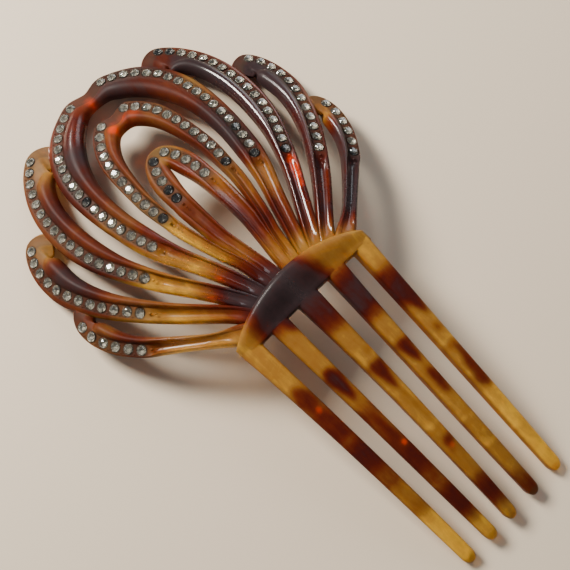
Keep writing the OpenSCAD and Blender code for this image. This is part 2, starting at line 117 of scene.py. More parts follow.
# ---------------------------------------------------------------- tortoiseshell chart, drawn
# Tones: 0 gold, 0.2 amber, 0.35 orange brown, 0.5 red brown, 0.7 maroon, 0.85 dark purple brown, 1 near black.
# Straps: share of the way from crown to root, tone of the outer lip, tone of the inner rib
STRAP_TONES = {
    ("loop_1", -1): [(0.0, 0.26, 0.24), (0.05, 0.36, 0.30), (0.1, 0.42, 0.52), (0.2, 0.40, 0.50), (0.3, 0.48, 0.48), (0.4, 0.54, 0.52), (0.5, 0.54, 0.56),
                     (0.58, 0.54, 0.60), (0.65, 0.44, 0.56), (0.73, 0.32, 0.38), (0.8, 0.40, 0.40), (0.87, 0.66, 0.50), (0.95, 0.86, 0.80), (1.0, 0.95, 0.95)],
    ("loop_1", 1): [(0.0, 0.18, 0.28), (0.06, 0.24, 0.40), (0.12, 0.34, 0.58), (0.2, 0.52, 0.58), (0.27, 0.52, 0.50), (0.34, 0.34, 0.42), (0.42, 0.32, 0.46),
                    (0.5, 0.40, 0.68), (0.6, 0.60, 0.80), (0.7, 0.68, 0.72), (0.8, 0.42, 0.40), (0.87, 0.22, 0.30), (0.95, 0.30, 0.42), (1.0, 0.16, 0.45)],
    ("loop_2", -1): [(0.0, 0.58, 0.42), (0.1, 0.56, 0.40), (0.2, 0.52, 0.54), (0.3, 0.44, 0.50), (0.4, 0.28, 0.44), (0.5, 0.24, 0.38),
                     (0.6, 0.06, 0.40), (0.7, 0.12, 0.70), (0.8, 0.20, 0.44), (0.88, 0.62, 0.62), (1.0, 0.95, 0.95)],
    ("loop_2", 1): [(0.0, 0.58, 0.54), (0.1, 0.46, 0.52), (0.2, 0.38, 0.44), (0.3, 0.56, 0.50), (0.4, 0.60, 0.66), (0.5, 0.48, 0.60),
                    (0.57, 0.34, 0.30), (0.64, 0.34, 0.36), (0.7, 0.44, 0.66), (0.8, 0.66, 0.76), (0.88, 0.42, 0.46), (0.94, 0.22, 0.24), (1.0, 0.14, 0.16)],
    ("loop_3", -1): [(0.0, 0.55, 0.60), (0.1, 0.68, 0.62), (0.2, 0.56, 0.76), (0.27, 0.66, 0.92), (0.35, 0.70, 0.72), (0.42, 0.68, 0.64), (0.5, 0.28, 0.44),
                     (0.56, 0.36, 0.36), (0.62, 0.34, 0.64), (0.68, 0.28, 0.70), (0.73, 0.20, 0.62), (0.8, 0.10, 0.26), (0.86, 0.48, 0.50), (0.92, 0.78, 0.84), (1.0, 0.95, 0.95)],
    ("loop_3", 1): [(0.0, 0.72, 0.80), (0.1, 0.84, 0.88), (0.2, 0.84, 0.76), (0.28, 0.60, 0.62), (0.34, 0.20, 0.60), (0.42, 0.42, 0.72),
                    (0.5, 0.76, 0.88), (0.6, 0.78, 0.86), (0.65, 0.54, 0.74), (0.7, 0.30, 0.30), (0.76, 0.32, 0.34), (0.82, 0.54, 0.68), (0.9, 0.56, 0.74),
                    (0.95, 0.22, 0.26), (1.0, 0.12, 0.16)],
    ("scallop_4", -1): [(0.0, 0.22, 0.20), (0.1, 0.26, 0.20), (0.17, 0.46, 0.30), (0.24, 0.50, 0.60), (0.32, 0.46, 0.82), (0.4, 0.40, 0.58),
                        (0.5, 0.76, 0.60), (0.58, 0.66, 0.66), (0.65, 0.22, 0.36), (0.7, 0.08, 0.28), (0.8, 0.12, 0.30), (0.86, 0.50, 0.66), (0.9, 0.86, 0.86), (1.0, 0.95, 0.95)],
    ("scallop_4", 1): [(0.0, 0.64, 0.64), (0.1, 0.70, 0.70), (0.15, 0.62, 0.96), (0.3, 0.64, 0.94), (0.4, 0.62, 0.86), (0.5, 0.62, 0.82),
                       (0.6, 0.72, 0.78), (0.66, 0.74, 0.74), (0.73, 0.54, 0.74), (0.8, 0.70, 0.76), (0.88, 0.60, 0.74), (0.93, 0.40, 0.50), (0.96, 0.20, 0.26), (1.0, 0.12, 0.16)],
    ("scallop_5", -1): [(0.0, 0.12, 0.14), (0.08, 0.26, 0.16), (0.15, 0.52, 0.30), (0.21, 0.58, 0.60), (0.28, 0.50, 0.86), (0.38, 0.52, 0.88), (0.44, 0.70, 0.70),
                        (0.52, 0.40, 0.46), (0.6, 0.26, 0.38), (0.68, 0.18, 0.36), (0.75, 0.12, 0.36), (0.82, 0.18, 0.46), (0.9, 0.32, 0.68), (0.95, 0.54, 0.74), (1.0, 0.84, 0.90)],
    ("scallop_5", 1): [(0.0, 0.80, 0.90), (0.1, 0.72, 0.96), (0.3, 0.62, 0.90), (0.4, 0.50, 0.84), (0.47, 0.62, 0.80), (0.6, 0.68, 0.78),
                       (0.75, 0.68, 0.76), (0.88, 0.72, 0.70), (0.94, 0.34, 0.44), (0.98, 0.16, 0.20), (1.0, 0.12, 0.14)],
    ("scallop_6", -1): [(0.0, 0.72, 0.62), (0.1, 0.62, 0.58), (0.2, 0.36, 0.40), (0.3, 0.36, 0.36), (0.36, 0.40, 0.64), (0.43, 0.60, 0.70), (0.5, 0.46, 0.52),
                        (0.58, 0.34, 0.36), (0.66, 0.20, 0.30), (0.75, 0.18, 0.22), (0.86, 0.16, 0.22), (0.93, 0.18, 0.50), (1.0, 0.22, 0.70)],
    ("scallop_6", 1): [(0.0, 0.24, 0.28), (0.1, 0.32, 0.26), (0.19, 0.42, 0.22), (0.27, 0.34, 0.52), (0.35, 0.66, 0.84), (0.42, 0.50, 0.84), (0.5, 0.86, 0.82),
                       (0.8, 0.92, 0.84), (0.86, 0.50, 0.72), (0.91, 0.38, 0.44), (0.96, 0.16, 0.26), (1.0, 0.12, 0.20)],
}
# Polish that is left on the straps: share of the way from crown to root, gloss
GLOSS = {
    ("loop_1", -1): [(0, 0.2), (0.5, 0.25), (0.65, 0.9), (0.9, 0.9), (1, 0.6)], ("loop_1", 1): [(0, 0.25), (0.14, 0.4), (0.22, 1), (0.5, 1), (0.6, 0.5), (1, 0.5)],
    ("loop_2", -1): [(0, 0.4), (0.1, 0.4), (0.2, 0.2), (0.5, 0.2), (0.58, 1), (0.9, 0.9), (1, 0.6)],
    ("loop_2", 1): [(0, 0.3), (0.04, 0.3), (0.12, 0.2), (0.6, 0.25), (0.75, 0.5), (1, 0.5)],
    ("loop_3", -1): [(0, 0.2), (0.07, 0.4), (0.1, 1), (0.18, 1), (0.23, 0.3), (0.44, 0.2), (0.58, 0.25), (0.66, 1), (0.95, 1), (1, 0.6)],
    ("loop_3", 1): [(0, 0.2), (0.04, 0.2), (0.3, 0.15), (0.55, 0.2), (0.65, 0.4), (1, 0.5)],
    ("scallop_4", -1): [(0, 0.3), (0.12, 0.3), (0.2, 0.2), (0.6, 0.2), (0.72, 0.6), (0.84, 0.9), (0.96, 0.9), (1, 0.5)],
    ("scallop_4", 1): [(0, 0.25), (0.2, 0.3), (0.34, 1), (0.8, 1), (1, 0.7)],
    ("scallop_5", -1): [(0, 0.3), (0.1, 0.3), (0.2, 0.15), (0.6, 0.2), (0.8, 0.5), (1, 0.5)],
    ("scallop_5", 1): [(0, 0.3), (0.2, 0.4), (0.3, 0.5), (0.42, 1), (0.9, 0.9), (1, 0.7)],
    ("scallop_6", -1): [(0, 0.2), (0.5, 0.25), (0.62, 0.9), (1, 0.8)], ("scallop_6", 1): [(0, 0.3), (0.2, 0.5), (0.4, 0.8), (0.8, 1), (1, 0.7)],
}
# Heading: place across the comb, tone
HEADING_TONES = [(-23, 0.14), (-18.5, 0.16), (-16.5, 0.36), (-14.8, 0.62), (-13.4, 0.82), (-11, 0.95), (2.5, 0.96), (4.6, 0.84), (6.4, 0.52), (8.2, 0.24), (23, 0.14)]
# Teeth: place along the comb, tone
TOOTH_TONES = {
    1: [(-6, 0.20), (-14, 0.17), (-19, 0.15), (-22, 0.20), (-26.5, 0.38), (-30, 0.52), (-33, 0.56), (-35, 0.66), (-37.5, 0.68), (-39, 0.52), (-41.5, 0.70),
        (-47.5, 0.70), (-49.5, 0.50), (-54, 0.40), (-57, 0.20), (-60.5, 0.18), (-62.5, 0.28), (-65, 0.06), (-79, 0.03), (-82, 0.10)],
    2: [(-5, 0.88), (-6.5, 0.60), (-8.5, 0.38), (-9.6, 0.22), (-22, 0.16), (-30, 0.22), (-34, 0.30), (-36.5, 0.44), (-40, 0.50), (-47, 0.58),
        (-50, 0.66), (-56, 0.66), (-58.5, 0.46), (-62, 0.40), (-65, 0.66), (-70, 0.72), (-72.5, 0.42), (-75, 0.08), (-82, 0.08)],
    3: [(-5, 0.97), (-8.5, 0.82), (-12.5, 0.75), (-15, 0.66), (-16.8, 0.44), (-18.5, 0.20), (-28, 0.14), (-50, 0.16), (-59, 0.22), (-66, 0.18),
        (-68, 0.48), (-70.5, 0.66), (-74.5, 0.66), (-76.5, 0.34), (-78, 0.14), (-82, 0.12)],
    4: [(-5.5, 0.24), (-7.0, 0.44), (-9, 0.70), (-12, 0.84), (-17.5, 0.82), (-20.5, 0.58), (-22, 0.34), (-23.5, 0.18), (-72, 0.16),
        (-73.5, 0.30), (-76, 0.44), (-79, 0.54), (-81, 0.34), (-82, 0.60)],
    5: [(-6, 0.12), (-13, 0.14), (-15.5, 0.50), (-17.5, 0.66), (-19, 0.74), (-23.0, 0.74), (-24.5, 0.54), (-26, 0.26), (-29, 0.16), (-41, 0.14),
        (-53, 0.14), (-55, 0.08), (-82, 0.03)],
}
# Round patches on the teeth: tooth, place along, place across (-1 left edge, 1 right edge), half length in mm, half width as a share,
# lean (mm along for one share across), tone
TOOTH_PATCHES = [
    (1, -27.9, 0.35, 0.9, 0.45, 0.5, 0.42), (1, -38.6, 0.30, 0.5, 0.5, 0.2, 0.52), (1, -35.5, 0.75, 3.5, 0.25, 0.0, 0.60),
    (2, -6.5, 0.75, 4.2, 0.42, 1.5, 0.74), (2, -38.0, -0.7, 1.8, 0.3, 1.0, 0.60), (2, -42.5, 0.85, 3.5, 0.25, 0.0, 0.36),
    (2, -43.0, 0.1, 5.5, 0.35, 0.0, 0.68), (2, -48.6, 0.50, 0.9, 0.32, 0.0, 0.30),
    (3, -42.5, 0.25, 5.0, 0.16, 0.0, 0.40), (3, -49.5, 0.30, 3.6, 0.16, 0.0, 0.40), (3, -26.2, 0.45, 1.6, 0.30, 1.5, 0.36),
    (3, -56.3, 0.25, 1.6, 0.80, 0.8, 0.58), (3, -58.5, -0.2, 0.8, 0.5, 0.4, 0.36),
    (4, -43.0, 0.42, 3.6, 0.62, -1.0, 0.60), (4, -46.0, 0.30, 2.4, 0.55, -1.0, 0.56), (4, -61.0, 0.38, 6.0, 0.10, 0.0, 0.32),
    (5, -34.4, 0.20, 1.3, 0.45, -1.0, 0.42), (5, -43.5, 0.60, 3.5, 0.55, -2.0, 0.50), (5, -48.5, 0.40, 4.4, 0.75, -1.5, 0.60),
    (5, -51.8, 0.2, 2.0, 0.80, -1.0, 0.60), (5, -16.5, -0.75, 2.5, 0.35, 0.0, 0.66), (5, -39.8, 0.1, 1.0, 0.7, 0.6, 0.32),
    (1, -61.8, -0.1, 1.6, 0.6, 0.5, 0.30),
]
# Drops, round or flat at their upper end and pointed at their lower one: tooth, upper and lower end along, place across there,
# half width as a share, length of the upper end as a share, tone
DROPS = [
    (1, -19.8, -33.0, -0.05, 0.15, 0.92, 0.34, 0.62), (2, -22.3, -33.2, -0.02, 0.05, 0.92, 0.26, 0.74),
    (3, -29.3, -38.6, 0.05, 0.18, 0.95, 0.05, 0.68), (4, -30.2, -38.2, 0.05, 0.30, 0.95, 0.05, 0.70),
    (5, -22.0, -30.4, 0.15, 0.45, 0.95, 0.05, 0.74),
]
# Bright seams inside the teeth: tooth, place along, lean of the line, hollow of the line
SEAMS = [(3, -50.9, 0.1, 0.25), (3, -57.8, -0.5, 0.5), (4, -55.8, -0.35, 0.2), (4, -64.1, -0.2, 0.1), (5, -66.3, 0.0, 0.2), (5, -38.6, 0.2, -0.2), (1, -38.7, 0.3, 0.2)]
# Spots of painted red glow, standing for light shining through the shell: across, along, radius, strength
PAINTED_GLOW_SPOTS = [(-2.7, 67.2, 1.8, 1.0), (-1.6, 69.0, 1.3, 0.5), (1.4, 68.6, 2.0, 0.35), (4.6, 67.0, 2.2, 0.3), (-0.7, 81.2, 1.7, 0.6), (-0.9, 79.6, 1.3, 0.5),
          (24.7, 25.0, 1.6, 1.0), (23.7, 22.6, 1.6, 1.0), (22.5, 20.2, 1.5, 0.9), (21.2, 17.8, 1.4, 0.7), (-18.4, -28.2, 1.0, 0.5), (-8.8, -48.6, 0.9, 0.8),
          (-0.6, -57.6, 0.9, 0.4), (4.0, 41.5, 1.2, 0.5), (-18.2, 11.0, 1.2, 0.4), (-12.9, 13.4, 1.2, 0.4)]


# ---------------------------------------------------------------- the bend of the comb
def bend(p):
    p = np.asarray(p, float)
    a, y, h = p[..., 0] / SIDE_R, p[..., 1] - BEND_MID, p[..., 2]
    c = np.sqrt(LONG_R ** 2 - y ** 2)
    n = np.stack([np.sin(a), y / c * np.cos(a), np.cos(a)], -1)
    n /= np.linalg.norm(n, axis=-1, keepdims=True)
    base = np.stack([SIDE_R * np.sin(a), p[..., 1], SIDE_R * (np.cos(a) - 1) + c - LONG_R], -1)
    return base + n * h[..., None]


LOW_Z = float(bend([16.8, -82.0, 0.0])[2])
SHIFT = np.array([0.0, MID_Y, LOW_Z])


def placed(p):
    return bend(p) - SHIFT


def unbend(q):
    """s, t and h of points in the placed frame."""
    q = np.asarray(q, float) + SHIFT
    s, t, h = q[:, 0].copy(), q[:, 1].copy(), np.full(len(q), 2.0)
    for _ in range(6):
        foot = bend(np.stack([s, t, 0 * s], -1))
        n = bend(np.stack([s, t, 0 * s + 1], -1)) - foot
        h = ((q - foot) * n).sum(1)
        r = q - n * h[:, None]
        s, t = SIDE_R * np.arcsin(np.clip(r[:, 0] / SIDE_R, -1, 1)), r[:, 1]
    return s, t, h


def step(x, a, b):
    x = np.clip((np.asarray(x, float) - a) / (b - a), 0, 1)
    return x * x * (3 - 2 * x)


# ---------------------------------------------------------------- mesh helpers
def sweep(rings, close_ends=True):
    """Vertices and faces of a solid swept through closed rings of the same count."""
    rings = np.asarray(rings, float)
    m, n = rings.shape[:2]
    i = np.arange(n)
    j = (i + 1) % n
    faces = []
    for k in range(m - 1):
        a, b = k * n, (k + 1) * n
        faces += list(zip(a + i, a + j, b + j, b + i))
    if close_ends:
        faces += [tuple(range(n - 1, -1, -1)), tuple(range((m - 1) * n, m * n))]
    return rings.reshape(-1, 3), [tuple(int(x) for x in f) for f in faces]


def mesh_object(name, verts, faces, scale=MM):
    me = bpy.data.meshes.new(name)
    me.from_pydata((np.asarray(verts) * scale).tolist(), [], faces)
    me.validate()
    ob = bpy.data.objects.new(name, me)
    bpy.context.scene.collection.objects.link(ob)
    return ob


def outward_faces(verts, faces):
    """The faces turned so that the solid's volume is positive."""
    v, vol = np.asarray(verts, float), 0.0
    for f in faces:
        for k in range(1, len(f) - 1):
            vol += np.dot(v[f[0]], np.cross(v[f[k]], v[f[k + 1]]))
    return faces if vol > 0 else [tuple(reversed(f)) for f in faces]


def both_sides(verts, faces):
    """A solid and its mirror image across the middle."""
    m = np.asarray(verts) * [-1, 1, 1]
    return [(verts, faces), (m, [tuple(reversed(f)) for f in faces])]


def joined(parts):
    verts, faces, at = [], [], 0
    for v, f in parts:
        verts.append(np.asarray(v))
        faces += [tuple(int(x) + at for x in g) for g in f]
        at += len(v)
    return np.concatenate(verts), faces


# ---------------------------------------------------------------- straps
def heading_arc(s):
    d = HEAD_TOP_T - HEAD_END_T
    big = (HEAD_HALF_W ** 2 + d ** 2) / (2 * d)
    return HEAD_TOP_T - big + np.sqrt(big ** 2 - np.clip(s, -HEAD_HALF_W, HEAD_HALF_W) ** 2)


def spline_rows(rows, spacing):
    """The rows of a strap on a smooth line through them, at an even spacing."""
    r = np.array(rows, float)
    first = r[1] * [-1, 1, 1, 1, 1, 1, 1] if r[0, 0] == 0 else 2 * r[0] - r[1]
    g = np.vstack([first, r, 2 * r[-1] - r[-2]])
    out = []
    for k in range(1, len(r)):
        a, b, c, d = g[k - 1:k + 3]
        u = np.linspace(0, 1, 60, endpoint=False)[:, None]
        out.append(0.5 * (2 * b + (c - a) * u + (2 * a - 5 * b + 4 * c - d) * u ** 2 + (3 * b - a - 3 * c + d) * u ** 3))
    p = np.vstack(out + [r[-1:]])
    run = np.r_[0, np.cumsum(np.hypot(np.diff(p[:, 0]), np.diff(p[:, 1])))]
    n = max(8, int(round(run[-1] / spacing)))
    at = np.linspace(0, run[-1], n + 1)
    return np.stack([np.interp(at, run, p[:, k]) for k in range(7)], -1), at


def directions(p, crown_level):
    """Outward directions along a strap, turned evenly enough that its inner side doesn't fold."""
    d = np.gradient(p[:, :2], axis=0)
    if crown_level:
        d[0] = [1, 0]
    ang = np.unwrap(np.arctan2(d[:, 1], d[:, 0]))
    k = np.exp(-0.5 * (np.arange(-4, 5) / 1.6) ** 2)
    k /= k.sum()
    pad = np.r_[2 * ang[0] - ang[4:0:-1], ang, 2 * ang[-1] - ang[-2:-6:-1]]
    ang = np.convolve(pad, k, "valid")
    if crown_level:
        ang -= ang[0] * step(np.arange(len(ang)), 8, 0)
    tangent = d / np.linalg.norm(d, axis=1, keepdims=True)
    gap = np.linalg.norm(np.diff(p[:, :2], axis=0), axis=1).mean()
    for _ in range(400):
        w = np.stack([-np.sin(ang), np.cos(ang)], -1)
        inner = p[:, :2] - w * p[:, 3:4]
        move = ((inner[1:] - inner[:-1]) * (tangent[1:] + tangent[:-1]) / 2).sum(1)
        bad = move < 0.12 * gap
        if not bad.any():
            break
        mark = np.zeros(len(ang), bool)
        mark[:-1] |= bad
        mark[1:] |= bad
        mark = mark | np.r_[mark[1:], False] | np.r_[False, mark[:-1]]
        mark[0] = mark[-1] = False
        mean = np.r_[ang[0], (ang[:-2] + 2 * ang[1:-1] + ang[2:]) / 4, ang[-1]]
        ang = np.where(mark, mean, ang)
    return np.stack([-np.sin(ang), np.cos(ang)], -1)


# Where the rib of each scallop rises out of the shell: distance along the strap at which it starts and is whole
RIB_START = {"scallop_4": (10.0, 20.0), "scallop_5": (7.5, 17.5), "scallop_6": (6.0, 13.5)}


def strap_profile(p, grown, shown):
    """The closed cross-section at every station: reach u to the outer side and height h, as (stations, points)."""
    o, i, f, e, r = (p[:, k] for k in range(2, 7))
    i = i + 1.5 * (1 - grown) ** 2
    tail = step(f, 1.35, 1.75)
    a_o = (1 - tail) * np.minimum(1.5, o - 0.25) + tail * 0.5 * o
    a_i = (1 - tail) * np.minimum(1.55, i - 0.7) + tail * 0.5 * i
    band = (1 - tail) * (e + 0.12) + tail * (f + 0.1)
    r = band + 0.1 + (r - band - 0.1) * (0.15 + 0.85 * shown)
    top = np.maximum(band + (e - band) * shown, band + 0.05)
    dip = tail * shown * 0.5
    shelf = band - 0.55 * (1 - grown)
    b_i = a_i + (i - a_i) * 0.55 * (1 - grown)
    r = shelf + (r - shelf) * grown ** 0.85
    crest = -(b_i + 0.50 * (i - b_i))
    rb = np.minimum(0.42, 0.35 * e)
    pts = []
    for x in np.linspace(0, 1, 4):
        q = x * math.pi / 2
        pts.append((o - rb + rb * math.sin(q), rb - rb * math.cos(q)))
    side = 0.40 * e
    for x in np.linspace(0.0, 1, 9):
        q = x * math.pi / 2
        pts.append((a_o + 0.10 + (o - a_o - 0.10) * math.cos(q), side + (top - side) * math.sin(q)))
    pts.append((a_o - 0.08, band + 0.35 * (top - band)))
    pts.append((a_o - 0.3, band - 0.15 * dip))
    for x in (0.25, 0.5, 0.75):
        pts.append((a_o - 0.3 - (a_o + a_i - 0.6) * x, band - 0.03 - dip * (1 - (2 * x - 1) ** 2)))
    pts.append((0.3 - a_i, band - 0.15 * dip))
    pts.append((0.08 - a_i - 0.25 * (b_i - a_i), band - 0.15 * (band - shelf)))
    pts.append((0.02 - a_i - 0.75 * (b_i - a_i), shelf + 0.12 * (band - shelf) + 0.03))
    reach = -crest - b_i
    for x in np.linspace(0.0, 1, 10):
        q = x * math.pi / 2
        pts.append((-b_i - 0.05 - (reach - 0.05) * x ** 1.2, shelf + 0.1 + (r - shelf - 0.1) * math.sin(q)))
    low = 0.30 * r
    reach = i + crest
    for x in np.linspace(0.08, 1, 10):
        q = x * math.pi / 2
        pts.append((crest - reach * math.sin(q), low + (r - low) * math.cos(q)))
    for x in np.linspace(0, 1, 4):
        q = x * math.pi / 2
        pts.append((-i + rb - rb * math.cos(q), rb - rb * math.sin(q)))
    pts.append((-i / 2, 0 * o))
    pts.append((0 * o, 0 * o))
    u = np.stack([np.broadcast_to(a, o.shape) for a, _ in pts], 1)
    h = np.stack([np.broadcast_to(b, o.shape) for _, b in pts], 1)
    return u, h


def smooth_curve(c, sigma, mirror):
    """A flat curve smoothed along its points; with a mirror its first end meets its own mirror image level."""
    n = int(4 * sigma)
    k = np.exp(-0.5 * (np.arange(-n, n + 1) / sigma) ** 2)
    k /= k.sum()
    head = c[n:0:-1] * [-1, 1] if mirror else 2 * c[0] - c[n:0:-1]
    tail = 2 * c[-1] - c[-2:-n - 2:-1]
    pad = np.vstack([head, c, tail])
    return np.stack([np.convolve(pad[:, j], k, "valid") for j in (0, 1)], -1)


# Outer rims lightened toward gold as painted glow, for light shining through: first and last share of the way from
# crown to root, tone
PAINTED_RIM_GLOWS = {("loop_2", -1): (0.58, 0.84, 0.02), ("loop_3", -1): (0.52, 0.90, 0.06), ("scallop_4", -1): (0.52, 0.92, 0.03),
        ("scallop_5", -1): (0.35, 0.88, 0.08), ("scallop_6", -1): (0.5, 1.1, 0.03), ("loop_1", -1): (0.45, 0.9, 0.25), ("loop_3", 1): (0.24, 0.38, 0.06)}


def mixed_tone(table, share, outer):
    t = np.array(table)
    lip, rib = np.interp(share, t[:, 0], t[:, 1]), np.interp(share, t[:, 0], t[:, 2])
    return rib + (lip - rib) * outer


def strap_solid(name):
    rows = STRAPS[name]
    loop = rows[0][0] == 0
    p, at = spline_rows(rows, 0.85)
    w = directions(p, loop)
    start = RIB_START.get(name, (-2.0, -1.0))
    u, h = strap_profile(p, step(at, *start), step(p[:, 1] - heading_arc(p[:, 0]), 0.6, 5.0))
    inner = smooth_curve(p[:, :2] - w * p[:, 3:4], 2.9, loop)
    back = (inner - p[:, :2]) / -p[:, 3:4]
    s = p[:, 0:1] + np.where(u > 0, w[:, 0:1], back[:, 0:1]) * u
    t = p[:, 1:2] + np.where(u > 0, w[:, 1:2], back[:, 1:2]) * u
    if loop:
        s = np.maximum(s, -0.06)
        s[0] = -0.06
    v, f = sweep(placed(np.stack([s, t, h], -1)))
    share = np.repeat(np.linspace(0, 1, len(p)), u.shape[1])
    outer = step(u, -2.6, 0.6).ravel()
    tones = {side: mixed_tone(STRAP_TONES[name, side], share, outer) for side in (-1, 1)}
    # Painted glow: the outer rims listed above are lightened toward gold
    rim = step(u - p[:, 2:3], -0.75, -0.2).ravel()
    for side in (-1, 1):
        if (name, side) in PAINTED_RIM_GLOWS:
            first, last, tone = PAINTED_RIM_GLOWS[name, side]
            rim_glow_painted = rim * step(share, first, first + 0.08) * (1 - step(share, last - 0.06, last))
            tones[side] = tones[side] + (np.minimum(tone, tones[side]) - tones[side]) * rim_glow_painted
    flat = np.clip((np.abs(u + 0.1) < 1.75) * (1 - step(p[:, 4:5], 1.35, 1.75)) + 0.8 * (u < -1.5) * (1 - step(at, *start))[:, None], 0, 1).ravel()
    dull = {}
    for side in (-1, 1):
        table = np.array(GLOSS[name, side], float)
        dull[side] = np.maximum(flat, 1 - np.interp(share, table[:, 0], table[:, 1]))
    return v, outward_faces(v, f), tones, dull


# ---------------------------------------------------------------- heading and teeth
def rounded(points, r, n=4):
    """A closed outline with its corners rounded; r is one radius a corner."""
    p = np.array(points, float)
    out = []
    for k in range(len(p)):
        a, b, c = p[k - 1], p[k], p[(k + 1) % len(p)]
        ab, cb = a - b, c - b
        la, lc = np.linalg.norm(ab), np.linalg.norm(cb)
        d = min(r[k], 0.48 * la, 0.48 * lc)
        p0, p1 = b + ab / la * d, b + cb / lc * d
        for x in np.linspace(0, 1, n):
            out.append((1 - x) ** 2 * p0 + 2 * x * (1 - x) * b + x * x * p1)
    return np.array(out)


def heading_edge(s):
    """Height of the heading at its lower edge, where the teeth run out of it."""
    return ROOT_H - 0.15 - 0.3 * (np.abs(s) / HEAD_HALF_W) ** 6


def heading_solid():
    flat = []
    for x in np.linspace(-1, 1, 85):
        s = HEAD_HALF_W * math.copysign(1 - (1 - abs(x)) ** 1.35, x)
        e = abs(s) / HEAD_HALF_W
        end = max(0.0, (abs(s) - (HEAD_HALF_W - 1.6)) / 1.6)
        sink = 1.5 * (1 - math.sqrt(max(0.0, 1 - end * end)))
        t0, t1 = ROOT_T - 0.1, float(heading_arc(s))
        b = float(heading_edge(s))
        h = b + (HEAD_H - b) * (1 - e ** 2.6)
        w = t1 - t0
        outline = [(t0, 0.0), (t0, 0.15), (t0, b - 0.45 - sink), (t0 + 0.10, b - 0.12 - sink), (t0 + 0.42, b - sink)]
        for k in np.linspace(0.08, 0.70, 14):
            outline.append((t0 + 0.42 + (w - 0.42) * k, b + (h - b) * float(step(k, 0.0, 0.72)) - sink))
        r = min(1.9, h - 1.2)
        for k in np.linspace(0.0, 1.0, 10):
            q = k * math.pi / 2
            outline.append((t1 - (0.26 * w) * (1 - math.sin(q) ** 0.85), h - r + r * math.cos(q) ** 0.75 - sink * (1 - k) - 0.0))
        outline += [(t1, 0.3), (t1 - 0.3, 0.0)]
        o = np.array(outline)
        o[:, 1] = np.maximum(o[:, 1], 0.0)
        flat.append(np.stack([np.full(len(o), s), o[:, 0], o[:, 1]], -1))
    flat = np.array(flat)
    v, f = sweep(placed(flat))
    g = flat.reshape(-1, 3)
    lean = np.where(g[:, 0] > 0, -0.45 * (g[:, 1] + 2), 0.25 * (g[:, 1] + 2))
    table = np.array(HEADING_TONES, float)
    return v, outward_faces(v, f), np.interp(g[:, 0] - lean, table[:, 0], table[:, 1]), 0.62 * (1 - np.exp(-((g[:, 0] + 1.5) / 2.6) ** 2))


def tooth_tone(tooth, t, u):
    table = np.array(TOOTH_TONES[tooth][::-1], float)
    tone = np.interp(t, table[:, 0], table[:, 1])
    for k, top, end, across_top, across_end, wide, head, value in DROPS:
        if k == tooth:
            x = (top - t) / (top - end)
            half = wide * np.clip(x / head, 0, 1) ** 0.5 * np.clip((1 - x) / (1 - head), 0, 1) ** 0.8
            d = np.abs(u - across_top - (across_end - across_top) * np.clip(x, 0, 1)) / np.maximum(half, 1e-3)
            tone = tone + (value - tone) * (1 - step(d, 0.7, 1.25)) * step(x, -0.02, 0.05) * step(1 - x, 0.0, 0.08)
    for k, at, across, long, wide, lean, value in TOOTH_PATCHES:
        if k == tooth:
            d = np.sqrt(((t - at - lean * (u - across)) / long) ** 2 + ((u - across) / wide) ** 2)
            tone = tone + (value - tone) * (1 - step(d, 0.62, 1.18))
    # Painted shade on the side walls of the lighter parts of each tooth, heavier on the left wall, and a painted
    # lighter strip just inside the edges
    gold = 1 - step(tone, 0.3, 0.6)
    tone = tone + gold * (0.20 * step(-u, 0.93, 1.0) + 0.10 * step(u, 0.95, 1.0) - 0.05 * (step(np.abs(u), 0.55, 0.8) - step(np.abs(u), 0.86, 0.95)))
    for k, at, lean, hollow in SEAMS:
        if k == tooth:
            d = np.abs(t - at - lean * u - hollow * u * u)
            tone = tone - 0.16 * (1 - step(d, 0.15, 0.6)) + 0.07 * (1 - step(np.abs(t - at - lean * u - hollow * u * u + 0.8), 0.1, 0.7))
    return np.clip(tone, 0, 1)


